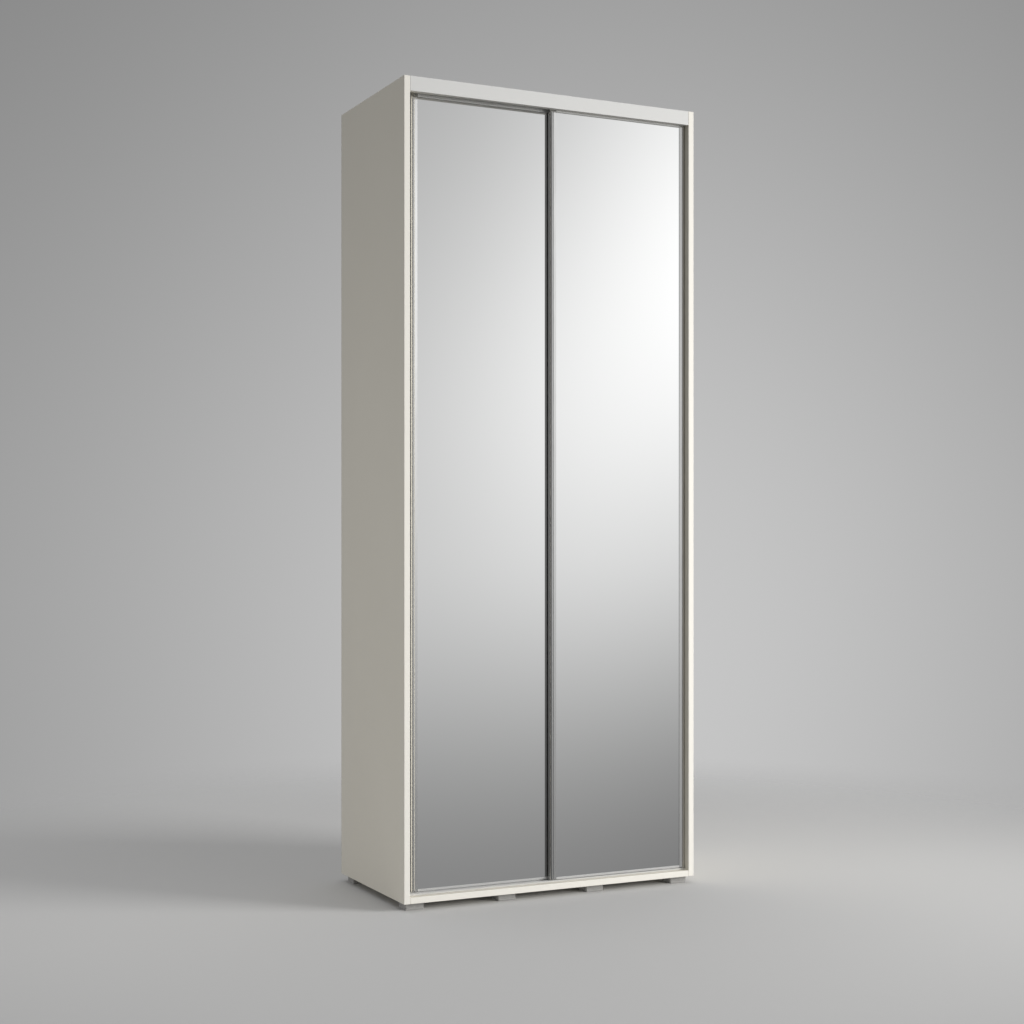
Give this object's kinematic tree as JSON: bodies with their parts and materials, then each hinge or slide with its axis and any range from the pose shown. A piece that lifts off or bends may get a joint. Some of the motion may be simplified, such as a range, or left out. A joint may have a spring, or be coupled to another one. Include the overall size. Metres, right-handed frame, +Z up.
{
  "type": "sliding door wardrobe",
  "caption": "Tall board wardrobe with sliding mirror doors in slim aluminium frames, hung behind a fascia, with shelves and a hanging rail inside.",
  "frame": {"origin": "on the floor, under the middle of the wardrobe", "axes": "+Z up, the doors face -Y, the width runs along X"},
  "size_m": [0.95, 0.505, 2.345],
  "materials": {
    "ivory_board": "melamine-faced board with matching edge bands",
    "back_hardboard": "thin lacquered hardboard",
    "white_plastic": "moulded white plastic",
    "rail_steel": "bright plated oval tube",
    "zinc_steel": "zinc-plated steel",
    "roller_nylon": "turned nylon",
    "mirror_glass": "silvered float glass",
    "door_backing": "thin fibreboard",
    "brush_pile": "dense grey pile",
    "foot_plastic": "moulded grey plastic with fine ribs",
    "satin_aluminium": "satin anodised extrusion"
  },
  "bodies": {
    "carcass": {"side_panel_left": "ivory_board", "side_panel_right": "ivory_board", "top_panel": "ivory_board", "bottom_panel": "ivory_board", "fascia": "ivory_board", "partition": "ivory_board", "back_panel_left": "back_hardboard", "back_panel_right": "back_hardboard", "back_joining_strip": "white_plastic", "shelf_1": "ivory_board", "shelf_2": "ivory_board", "shelf_3": "ivory_board", "shelf_4": "ivory_board", "hat_shelf": "ivory_board", "hanging_rail": "rail_steel", "rail_socket_left": "white_plastic", "rail_socket_right": "white_plastic", "foot_front_1": "foot_plastic", "foot_front_2": "foot_plastic", "foot_front_3": "foot_plastic", "foot_front_4": "foot_plastic", "foot_back_1": "foot_plastic", "foot_back_2": "foot_plastic", "foot_back_3": "foot_plastic", "foot_back_4": "foot_plastic", "top_track": "satin_aluminium", "bottom_track": "satin_aluminium", "seal_holder": "satin_aluminium", "seal_pile": "brush_pile"},
    "left_door": {"left_door_stile_left": "satin_aluminium", "left_door_stile_right": "satin_aluminium", "left_door_top_rail": "satin_aluminium", "left_door_bottom_rail": "satin_aluminium", "left_door_mirror": "mirror_glass", "left_door_backing": "door_backing", "left_door_hanger_left": "zinc_steel", "left_door_axle_left": "zinc_steel", "left_door_guide_left": "white_plastic", "left_door_hanger_right": "zinc_steel", "left_door_axle_right": "zinc_steel", "left_door_guide_right": "white_plastic"},
    "right_door": {"right_door_stile_left": "satin_aluminium", "right_door_stile_right": "satin_aluminium", "right_door_top_rail": "satin_aluminium", "right_door_bottom_rail": "satin_aluminium", "right_door_mirror": "mirror_glass", "right_door_backing": "door_backing", "right_door_hanger_left": "zinc_steel", "right_door_axle_left": "zinc_steel", "right_door_guide_left": "white_plastic", "right_door_hanger_right": "zinc_steel", "right_door_axle_right": "zinc_steel", "right_door_guide_right": "white_plastic", "right_door_pile": "brush_pile"},
    "left_door_roller_left": {"left_door_roller_left": "roller_nylon"},
    "left_door_roller_right": {"left_door_roller_right": "roller_nylon"},
    "right_door_roller_left": {"right_door_roller_left": "roller_nylon"},
    "right_door_roller_right": {"right_door_roller_right": "roller_nylon"}
  },
  "joints": [
    {"name": "left_door_slide", "type": "slide", "parent": "carcass", "child": "left_door", "axis": [1, 0, 0], "range_m": [0, 0.433]},
    {"name": "right_door_slide", "type": "slide", "parent": "carcass", "child": "right_door", "axis": [1, 0, 0], "range_m": [-0.451, 0]},
    {"name": "left_door_roller_left_spin", "type": "hinge", "parent": "left_door", "child": "left_door_roller_left", "pos_m": [-0.3825, -0.20975, 2.319], "axis": [0, 1, 0], "range_deg": [0, 4975]},
    {"name": "left_door_roller_right_spin", "type": "hinge", "parent": "left_door", "child": "left_door_roller_right", "pos_m": [-0.0325, -0.20975, 2.319], "axis": [0, 1, 0], "range_deg": [0, 4975]},
    {"name": "right_door_roller_left_spin", "type": "hinge", "parent": "right_door", "child": "right_door_roller_left", "pos_m": [0.0505, -0.22825, 2.319], "axis": [0, 1, 0], "range_deg": [-5180, 0]},
    {"name": "right_door_roller_right_spin", "type": "hinge", "parent": "right_door", "child": "right_door_roller_right", "pos_m": [0.4005, -0.22825, 2.319], "axis": [0, 1, 0], "range_deg": [-5180, 0]}
  ],
  "couplings": [
    {"joint": "left_door_roller_left_spin", "follows": "left_door_slide", "rad_per_m": 200},
    {"joint": "left_door_roller_right_spin", "follows": "left_door_slide", "rad_per_m": 200},
    {"joint": "right_door_roller_left_spin", "follows": "right_door_slide", "rad_per_m": 200},
    {"joint": "right_door_roller_right_spin", "follows": "right_door_slide", "rad_per_m": 200}
  ]
}
